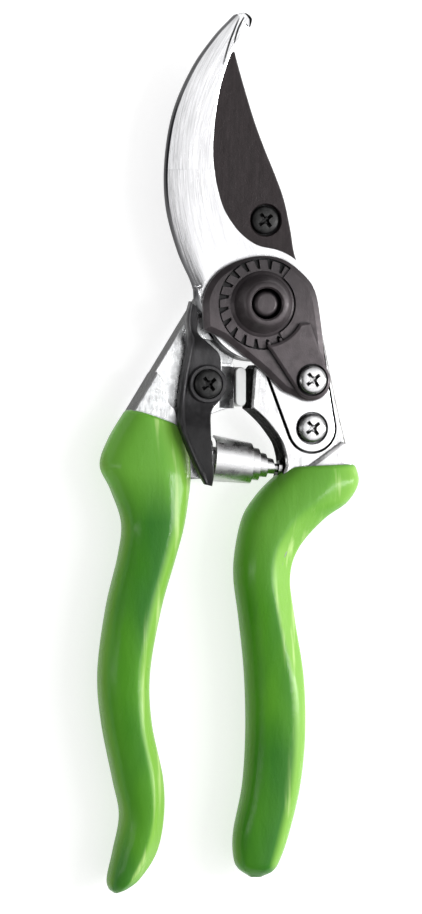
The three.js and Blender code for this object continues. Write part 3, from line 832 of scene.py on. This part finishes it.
def cutting_blade():
    """The blade, flat on the side of the hook and ground to its edge on the back."""
    low, high = BLADE_Z
    rings = []
    for ex, ey, sx, sy in refined(BLADE_SECTIONS, np.linspace(0, 1, 64)):
        width = math.hypot(sx - ex, sy - ey)
        bevel = min(0.62, 6.2 / width)
        ease = min(0.1, 0.35 / width)
        section = [
            (0, high), (0, high - 0.35), (0.5 * bevel, low + 1.3), (bevel, low),
            (1 - ease, low), (1, low + 0.3), (1, high - 0.4), (1 - ease, high),
        ]
        rings.append([(ex + (sx - ex) * t, ey + (sy - ey) * t, z) for t, z in section])
    blade = join(skin("cutting_blade_steel", rings), disc("hub", (0, 0), HUB_R, low, high))
    return cut(
        blade,
        bore((0, 0), 5.7, 5, 11),
        bore(BLADE_SCREW, CLEAR_R, 5, 11),
        bore(BLADE_SCREW, 3.75, high - 1.8, 11, mouth=high),
    )


dress(cutting_blade(), BLADE_COAT, CUTTING, "cutting_blade", slot="coated_steel")

# ---- Forgings -----------------------------------------------------------------------------------

PAD = dict(x=-4.6, y=-19.7, width=2.6, length=9.4, low=2.6, high=12.2)


def pill(gap=0.0):
    """The outline of the bumper pad, gap wider all round for the slot that it sits in."""
    half = PAD["width"] / 2 + gap
    end = (PAD["length"] - PAD["width"]) / 2
    return [
        *arc(PAD["x"], PAD["y"] + end, half, 0, 180, 10),
        *arc(PAD["x"], PAD["y"] - end, half, 180, 360, 10),
    ]


def left_forging():
    """A hub and carrier under the blade, an arm under the catch, and a core inside the grip."""
    hub = disc("left_handle_metal", (0, 0), HUB_R, *HUB_Z, edge=0.6)
    under_blade = [*arc(*BLADE_SCREW, 4.9, 10, 175), (-9.6, 9.2), (0, -4), (10.2, 8.4)]
    carrier = plate("carrier", under_blade, *HUB_Z, edge=0.5)
    arm = plate(
        "arm",
        [(0, 0), (-14.2, 1.6), (-30.6, -25.0), (-19.6, -28.6), (-13.0, -33.4), (-12.6, -26.6),
         (-6.6, -24.6), (-6.1, -15.2)],
        2.2,
        LAND_Z,
        edge=0.35,
    )
    step = smooth([(-25.2, -16.2), (-23.7, -18.4), (-23.3, -20.9), (-22.4, -23.2), (-20.6, -25.4)], 20)
    cast = plate(
        "cast",
        [*step, (-19.4, -29.4), (-17.6, -31.0), (-31.2, -31.0), (-31.2, -26.0)],
        1.6,
        13.2,
        edge=0.5,
    )

    ramp = [
        (-0.9, 2.2), (-0.9, 11.6), (-0.5, 11.4), (0.3, 10.7), (1.2, 10.1), (2.2, 9.75), (2.6, 9.6), (2.6, 2.2),
    ]
    lug = follow("lug", [(-7.1, -24.8), (-6.8, -19.8), (-6.5, -14.9)], lambda share: ramp)
    spring_seat = [(-17.4, -28.0), (-13.0, -32.0), (-13.2, -41.6), (-17.6, -41.8)]
    seat = plate("seat", spring_seat, 4.4, 13.6, edge=0.6)
    body = join(hub, carrier, arm, cast, lug, seat, core("core", LEFT_GRIP))
    behind_catch = [
        (-14.1, -8.1), (-10.5, -8.6), (-5.3, -12.4), (-2.0, -13.6), (-2.0, -14.7), (-8.6, -14.2),
        (-11.6, -11.4),
    ]
    return cut(
        body,
        turned("clear", [(HUB_R + 0.3, HUB_Z[1]), (HUB_R + 0.3, 20)]),
        bore((0, 0), 8.0, -1, 3.7),
        bore((0, 0), 5.7, 0, 8),
        turned("room", [(4.9, LAND_Z), (4.9, 20)], CATCH_SCREW),
        bore(CATCH_SCREW, CLEAR_R, 3.2, 14),
        bore(BLADE_SCREW, CLEAR_R, 0, 8),
        plate("slot", pill(0.3), PAD["low"] - 0.3, 20, edge=0.05),
        plate("pocket", behind_catch, 6.6, 20, edge=0.05),
    )


dress(left_forging(), LEFT_ALUMINIUM, CUTTING, "left_handle_forging", slot="forged_aluminium")

pad = plate("bumper_rubber", pill(), PAD["low"], PAD["high"], edge=0.5)
dress(pad, RUBBER, CUTTING, "bumper_pad", slot="pale_rubber")


def right_forging():
    """A flat head with a pocket for the hook's tang, a raised shoulder, and a core inside the grip."""
    head_low, head_high, shoulder_high = 2.4, 13.4, 14.35
    outer = [(15.2, -7.3), (17.9, -20.5), (19.5, -27.7), (21.4, -35.4), (22.8, -40.6)]
    inner = [(5.9, -36.2), (5.2, -33.6), (4.0, -31.5), (1.8, -28.6), (-0.6, -26.2), (-2.3, -24.8)]
    head = plate(
        "right_handle_metal",
        [
            *arc(0, 0, HUB_R + 0.9, 267, 330),
            *outer,
            (5.0, -42.0),
            (6.2, -38.6),
            *smooth(inner, 24),
            (-1.6, -15.4),
        ],
        head_low,
        head_high,
        edge=0.45,
        chamfer=(0.5, 0.4),
    )
    shoulder = plate(
        "shoulder",
        [(11.6, -38.6), (19.6, -32.8), (20.6, -33.4), (22.4, -40.0), (9.0, -41.6)],
        2.6,
        shoulder_high,
        edge=0.15,
    )

    slope = [(3.0, 20), (3.0, head_high), (1.0, head_high), (-1.0, shoulder_high + 0.05), (-1.0, 20)]
    foot = [(9.0, -40.4), (11.6, -38.6), (19.6, -32.8), (23.0, -30.4)]
    cut(shoulder, follow("slope", foot, lambda share: slope))
    body = join(head, shoulder, core("core", RIGHT_GRIP))
    return cut(
        body,
        plate("pocket", tang_outline(0.55), HOOK_Z[0] - 0.1, 20, edge=0.05),
        bore(SEGMENT_SCREW, CLEAR_R, 3.6, 20),
        bore(TANG_SCREW, CLEAR_R, 3.6, 20),
    )


dress(right_forging(), RIGHT_ALUMINIUM, HOOK_SIDE, "right_handle_forging", slot="forged_aluminium")

# ---- Thumb catch --------------------------------------------------------------------------------

# Sections from the nose to the end of the tail: left x, y, right x, y, then the lowest and highest z.
CATCH_SECTIONS = [
    (-17.8, 0.6, -16.2, -0.8, 14.1, 16.6),
    (-18.8, -3.4, -15.9, -4.2, 14.1, 16.8),
    (-18.5, -6.6, -15.8, -7.0, 13.9, 16.6),
    (-17.9, -9.6, -11.8, -10.2, 10.4, 14.2),
    (-18.2, -12.6, -9.9, -12.4, 10.4, 13.6),
    (-19.1, -17.3, -9.6, -17.0, 10.4, 13.6),
    (-19.8, -22.4, -9.4, -22.0, 10.4, 13.6),
    (-20.4, -26.2, -12.2, -25.4, 13.0, 15.2),
    (-20.6, -29.6, -13.0, -29.8, 15.4, 17.8),
    (-18.9, -34.6, -12.9, -35.2, 16.4, 19.0),
    (-16.6, -39.6, -12.5, -40.2, 16.4, 19.0),
    (-14.6, -43.0, -12.8, -43.4, 16.6, 18.5),
]


def thumb_catch():
    """A pressed lever with a raised rib along its left edge and a boss round its screw."""
    rings = []
    for share in np.linspace(0, 1, 96):
        lx, ly, rx, ry, low, high = refined(CATCH_SECTIONS, [share])[0]
        width = math.hypot(rx - lx, ry - ly)
        rim = min(0.4, 1.5 / width)
        lift = 1.3 * math.sin(math.pi * min(1.0, 0.15 + share * 0.85)) ** 0.5
        face = high - 0.4
        section = [
            (0.0, low), (0.0, high - 0.5), (0.1 * rim, face + 0.6 * lift), (0.4 * rim, face + lift),
            (0.62 * rim, face + 0.95 * lift), (1.1 * rim, high - 0.45), (1 - 0.35 / width, high - 0.3),
            (1.0, high - 0.7), (1.0, low),
        ]
        rings.append([(lx + (rx - lx) * t, ly + (ry - ly) * t, z) for t, z in section])
    lever = skin("thumb_catch_lever", rings)
    boss = turned("boss", [(4.6, 10.4), (4.6, 13.7), (4.3, 14.0), (3.9, 14.0)], CATCH_SCREW)
    return cut(
        join(lever, boss),
        turned("under", [(7, 0), (7, 10.4)], CATCH_SCREW),
        bore(CATCH_SCREW, CLEAR_R, 0, 30),
        bore(CATCH_SCREW, SUNK_R, 13.0, 30),
    )


dress(thumb_catch(), CATCH_PAINT, CATCH_BODY, "thumb_catch", slot="black_paint")

# ---- Pivot nut, cover and lock ------------------------------------------------------------------


def pivot_nut():
    """A toothed ring under a domed collar."""
    teeth = []
    for i in range(round(360 / PITCH)):
        gap = FIRST_TOOTH + i * PITCH
        teeth += arc(0, 0, 8.5, gap - 0.2 * PITCH, gap + 0.02 * PITCH)
        teeth += arc(0, 0, 10.6, gap + 0.25 * PITCH, gap + 0.85 * PITCH)
    ring = plate("pivot_nut_steel", teeth, 14.5, 15.7, edge=0.12)
    body = turned(
        "body",
        [(10.7, 14.0), (10.7, 14.6), (8.0, 14.6), (7.9, 15.75), (7.5, 16.1), (7.1, 16.3),
         (6.9, 17.0), (6.3, 18.2), (5.6, 19.6), (5.3, 20.1), (4.9, 20.4), (4.2, 20.4)],
    )
    hole = turned("hole", [(3.7, 10), (3.7, 20.0), (4.3, 20.6)])
    return cut(join(ring, body), hole)


dress(pivot_nut(), BURNISHED, HOOK_SIDE, "pivot_nut", slot="dark_steel")


def nut_cover():
    """A pear-shaped plate with a window that shows the nut's teeth."""
    crown = smooth(
        [(-14.2, -6.2), (-14.5, -2.2), (-14.3, 1.8), (-11.9, 6.4), (-7.6, 9.6), (-1.4, 11.4), (4.4, 10.9),
         (9.1, 7.9), (12.7, 3.4), (14.2, -4.2), (15.0, -12.0), (15.6, -15.4)],
        90,
    )
    lower_left = [(5.0, -20.7), (0.2, -16.1), (-6.8, -10.4), (-9.8, -8.1)]
    outline = [*crown, *arc(*SEGMENT_SCREW, 5.0, 15, -120), *lower_left]
    cover = plate("nut_cover_plate", outline, *COVER_Z, edge=0.2, chamfer=(1.3, 0.9))
    window = plate("window", [*arc(0, 0, 10.95, 52, 300), *arc(0, 0, 7.9, 300, 412)], 0, 30, edge=0.01)
    recess = turned("recess", [(11.0, 10), (11.0, 15.8)])
    return cut(cover, window, recess, bore(SEGMENT_SCREW, CLEAR_R, 10, 20))


dress(nut_cover(), BURNISHED, HOOK_SIDE, "nut_cover", slot="dark_steel")


def lock_segment():
    """A wedge on the cover, with two teeth that reach down between the nut's."""
    x, y = SEGMENT_SCREW
    outline = [*arc(x, y, 4.5, 205, 380), (13.2, -10.2), (11.2, -4.6), *arc(0, 0, 9.9, -28, -86)]
    wedge = plate("lock_segment_steel", outline, *SEGMENT_Z, edge=0.1, chamfer=(0.5, 0.4))
    teeth = []
    for i in (-3, -4):
        gap = FIRST_TOOTH + i * PITCH
        tooth = [*arc(0, 0, 9.1, gap - 1.9, gap + 1.9), *arc(0, 0, 10.8, gap + 2.2, gap - 2.2)]
        teeth.append(plate("tooth", tooth, 14.9, SEGMENT_Z[0] + 0.3, edge=0.05))
    return cut(
        join(wedge, *teeth),
        bore(SEGMENT_SCREW, CLEAR_R, 10, 20),
        bore(SEGMENT_SCREW, SUNK_R, 17.2, 20),
        moat(SEGMENT_SCREW, 3.2, 3.9, 16.6, 20),
    )


dress(lock_segment(), BURNISHED, HOOK_SIDE, "lock_segment", slot="dark_steel")

bolt = turned(
    "pivot_bolt_steel",
    [(6.4, 0.0), (7.0, 0.15), (7.4, 0.8), (7.4, 2.7), (7.2, 2.9), (4.0, 2.9), (4.0, 13.9), (3.4, 14.1),
     (3.4, 18.4), (3.1, 18.9), (2.5, 19.5), (2.0, 19.6)],
)
dress(bolt, BURNISHED, HOOK_SIDE, "pivot_bolt", slot="dark_steel")

# ---- Screws -------------------------------------------------------------------------------------


def screw(name, at, top, tip):
    """A pan-head screw with a cross recess whose wings narrow towards the bottom."""
    seat = top - 1.7
    head = turned(
        name,
        [(1.9, tip), (1.9, seat), (3.15, seat), (3.35, seat + 0.2), (3.35, top - 0.75), (3.2, top - 0.4),
         (2.8, top - 0.15), (2.1, top - 0.03), (1.2, top)],
        at,
    )
    wings = []
    for angle in (38, 128):
        a = math.radians(angle)
        c, s = math.cos(a), math.sin(a)
        rings = []
        for long, wide, z in ((1.0, 0.22, top - 1.3), (1.95, 0.42, top - 0.2), (2.1, 0.46, top + 0.5)):
            corners = [(long, wide), (-long, wide), (-long, -wide), (long, -wide)]
            rings.append([(at[0] + u * c - v * s, at[1] + u * s + v * c, z) for u, v in corners])
        wings.append(skin("wing", rings))
    eye = turned("eye", [(0.4, top - 1.4), (0.85, top - 0.3), (0.95, top + 0.5)], at, 24)
    return cut(head, *wings, eye)


SCREWS = [
    ("tang_screw", TANG_SCREW, HOOK_Z[1] + 1.2, 4.4, ZINC, HOOK_SIDE, "chromed_steel"),
    ("segment_screw", SEGMENT_SCREW, SEGMENT_Z[1] + 1.4, 4.4, ZINC, HOOK_SIDE, "chromed_steel"),
    ("blade_screw", BLADE_SCREW, BLADE_Z[1], 1.6, BLACK_OXIDE, CUTTING, "black_screw"),
    ("catch_screw", CATCH_SCREW, 15.2, 4.4, BLACK_OXIDE, CUTTING, "black_screw"),
]
for node, at, top, tip, material, body, slot in SCREWS:
    dress(screw(f"{node}_cross", at, top, tip), material, body, node, slot=slot)

# ---- Volute spring ------------------------------------------------------------------------------

SPRING_LEFT = np.array([-11.7, -36.9, 9.5])
SPRING_RIGHT = np.array([4.9, -39.1, 9.5])
SPRING = dict(outer=5.8, inner=2.2, turns=3.5, strip=9.6, thick=0.7, length=16.3, slant=0.7)


def volute_spring():
    """A flat strip wound into a cone. slant is how far its far edge leans towards the axis."""
    along = (SPRING_RIGHT - SPRING_LEFT) / np.linalg.norm(SPRING_RIGHT - SPRING_LEFT)
    side = np.array([-along[1], along[0], 0])
    up = np.array([0, 0, 1])
    rings = []
    half, strip, ease = SPRING["thick"] / 2, SPRING["strip"], 0.15
    section = [(ease, -half), (0, 0), (ease, half), (strip - ease, half), (strip, 0), (strip - ease, -half)]
    for share in np.linspace(0, 1, 220):
        radius = SPRING["outer"] - half - (SPRING["outer"] - SPRING["inner"]) * share
        angle = share * SPRING["turns"] * 2 * math.pi
        outwards = side * math.cos(angle) + up * math.sin(angle)
        start = (SPRING["length"] - strip) * share
        ring = []
        for distance, out in section:
            slant = SPRING["slant"] * distance / strip
            ring.append(SPRING_LEFT + along * (start + distance) + outwards * (radius + out - slant))
        rings.append(ring)
    return skin("volute_spring_strip", rings)


spring = dress(volute_spring(), SPRING_STEEL, None, "volute_spring", slot="plain_steel")
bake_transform(spring)

# ---- CAD pieces that keep their shape -----------------------------------------------------------


def soften(node, material, width=0.15):
    """A CAD piece as it is, with its sharp edges eased."""
    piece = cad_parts[node]
    piece.data.materials.clear()
    piece.data.materials.append(material)
    bevel = piece.modifiers.new("eased", "BEVEL")
    bevel.width = width * MM
    bevel.segments = 2
    bevel.limit_method = "ANGLE"
    bevel.angle_limit = math.radians(40)


for node in ("spring_peg_left", "spring_peg_right", "catch_washer", "back_washer"):
    soften(node, ZINC)
soften("pivot_bush", BRONZE)

# ---- Floor, light and camera --------------------------------------------------------------------

VIEW_YAW = 12.0  # degrees that the camera stands to the left of the pivot axis
VIEW_CENTRE = Vector((-12.31, -36.48, 14.0)) * MM
VIEW_HEIGHT = 217.9 * MM
CAMERA_AWAY = 2.0  # metres
SENSOR = 24.0
FLOOR_HALF = 1500

corners = [(x * FLOOR_HALF, y * FLOOR_HALF, 0) for x, y in ((-1, -1), (1, -1), (1, 1), (-1, 1))]
floor = piece_of("floor", corners, [(0, 1, 2, 3)])
floor.location.z = -0.2 * MM
floor.data.materials.append(floor_paint())


def sky():
    """A soft studio dome: bright overhead and to the right, dark at both ends and on the left."""
    world = bpy.data.worlds.new("studio")
    bpy.context.scene.world = world
    world.use_nodes = True
    nodes, links = world.node_tree.nodes, world.node_tree.links

    def math_node(operation, *values):
        made = nodes.new("ShaderNodeMath")
        made.operation = operation
        for value, socket in zip(values, made.inputs):
            links.new(value, socket)
        return made.outputs[0]

    def ramp(value, start, end, low, high):
        made = nodes.new("ShaderNodeMapRange")
        made.interpolation_type = "SMOOTHSTEP"
        links.new(value, made.inputs["Value"])
        for key, number in zip(("From Min", "From Max", "To Min", "To Max"), (start, end, low, high)):
            made.inputs[key].default_value = number
        return made.outputs[0]

    place = nodes.new("ShaderNodeTexCoord")
    parts = nodes.new("ShaderNodeSeparateXYZ")
    links.new(place.outputs["Generated"], parts.inputs[0])
    from_left = ramp(parts.outputs[0], -0.35, 0.12, 0.12, 1.12)
    ends = ramp(math_node("ABSOLUTE", parts.outputs[1]), 0.45, 0.85, 1.0, 0.12)
    links.new(math_node("MULTIPLY", from_left, ends), nodes["Background"].inputs["Strength"])
    nodes["Background"].inputs["Color"].default_value = (1.0, 1.0, 1.0, 1)


LAMP_AIM = Vector((0, -0.03, 0.01))


def lamp(name, place, size, power):
    """A rectangular lamp turned towards the middle of the tool. Its place and size are in metres."""
    data = bpy.data.lights.new(name, "AREA")
    data.shape = "RECTANGLE"
    data.size, data.size_y = size
    data.energy = power
    light = bpy.data.objects.new(name, data)
    light.location = place
    light.rotation_euler = (LAMP_AIM - Vector(place)).to_track_quat("-Z", "Y").to_euler()
    bpy.context.collection.objects.link(light)


sky()
lamp("right_strip", (0.75, -0.05, 0.5), (0.1, 1.2), 7.0)
lamp("left_strip", (-0.8, -0.05, 0.3), (0.08, 1.0), 1.2)

camera_data = bpy.data.cameras.new("camera")
camera_data.sensor_fit = "VERTICAL"
camera_data.sensor_height = SENSOR
camera_data.lens = SENSOR * CAMERA_AWAY / VIEW_HEIGHT
camera_data.clip_end = 10.0
camera = bpy.data.objects.new("camera", camera_data)
bpy.context.collection.objects.link(camera)
yaw = math.radians(VIEW_YAW)
toward = Vector((-math.sin(yaw), 0, math.cos(yaw)))
camera.location = VIEW_CENTRE + toward * CAMERA_AWAY
camera.rotation_euler.y = -yaw
bpy.context.scene.camera = camera
bpy.context.scene.view_settings.view_transform = "Standard"
